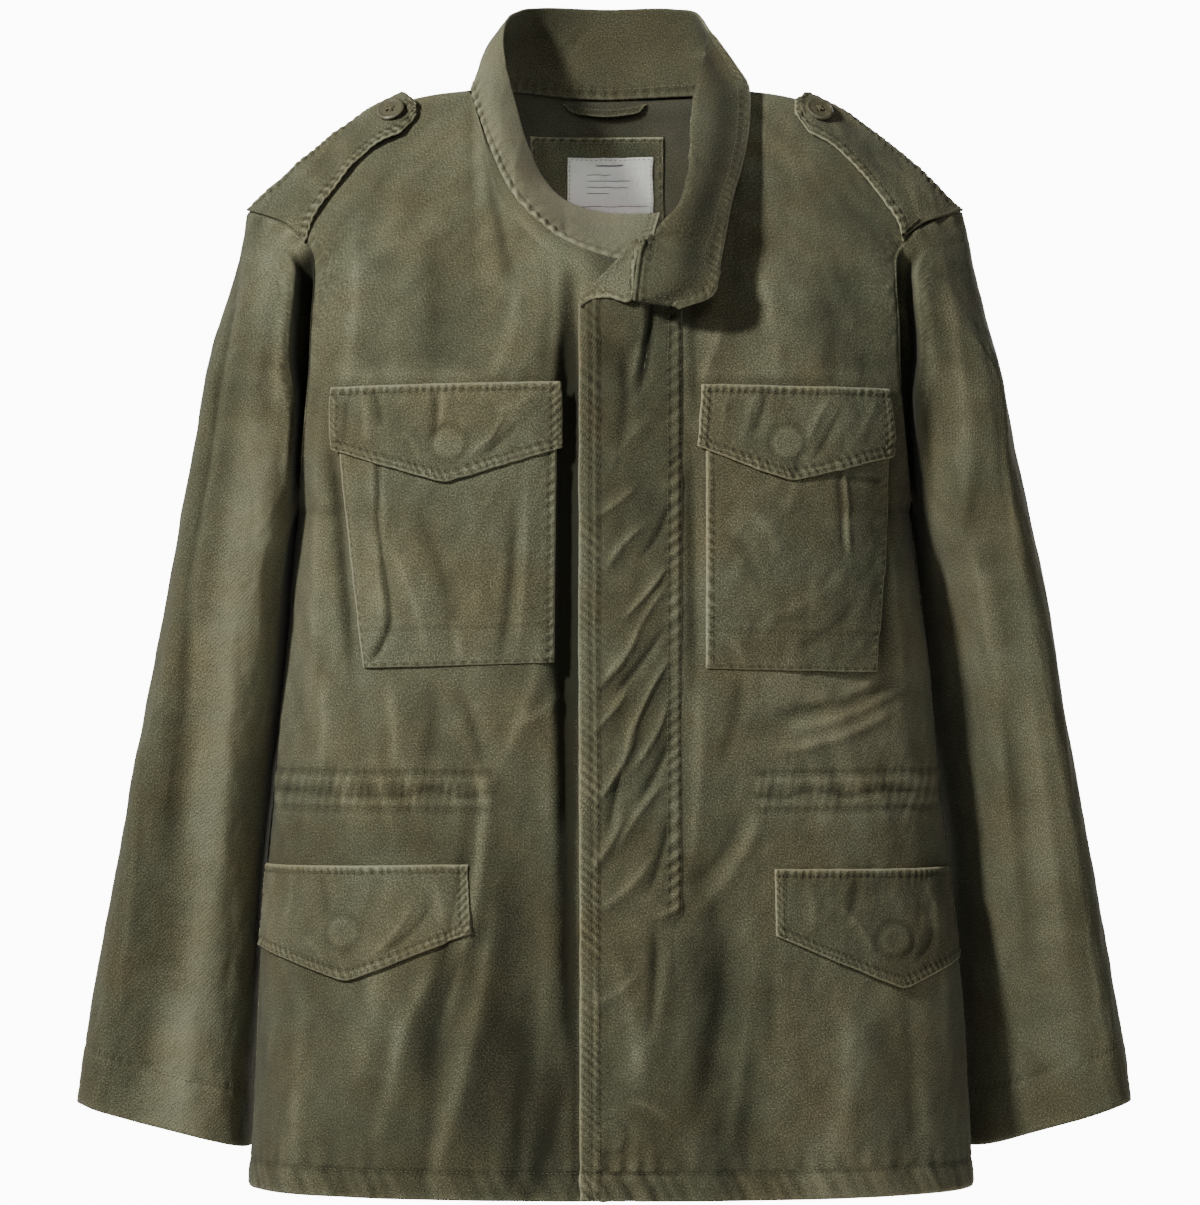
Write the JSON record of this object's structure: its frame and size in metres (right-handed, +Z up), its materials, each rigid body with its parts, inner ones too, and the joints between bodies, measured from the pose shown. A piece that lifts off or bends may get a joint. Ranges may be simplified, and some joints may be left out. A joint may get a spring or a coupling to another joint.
{
  "type": "field jacket",
  "caption": "Hip-length olive cotton field jacket with stand collar, shoulder straps, flap pockets and a covered front, held in the hollow shape of a wearer.",
  "frame": {"origin": "middle of the line between the two neck points, where the shoulder seams meet the collar and the wearer's shoulders carry the jacket", "axes": "+Z up, the front faces -Y, +X towards the wearer's left arm"},
  "size_m": [0.744, 0.2512, 0.8369],
  "materials": {
    "outer_cloth": "washed cotton twill, matt, lighter on edges and seams",
    "inside_cloth": "matt cotton",
    "tape": "woven cotton tape",
    "label_cloth": "white woven label, bare",
    "button": "semi-matt, worn"
  },
  "bodies": {
    "root": {"front_left": "outer_cloth", "front_right": "outer_cloth", "back": "outer_cloth", "sleeve_left": "outer_cloth", "sleeve_right": "outer_cloth", "collar": "outer_cloth", "storm_placket": "outer_cloth", "placket_corner": "outer_cloth", "chest_pocket_left": "outer_cloth", "chest_pocket_right": "outer_cloth", "chest_flap_left": "outer_cloth", "chest_flap_right": "outer_cloth", "lower_flap_left": "outer_cloth", "lower_flap_right": "outer_cloth", "epaulette_left": "outer_cloth", "epaulette_right": "outer_cloth", "epaulette_button_left": "button", "epaulette_button_right": "button", "hanger_loop": "tape", "label_patch": "inside_cloth", "neck_label": "label_cloth"}
  },
  "joints": []
}
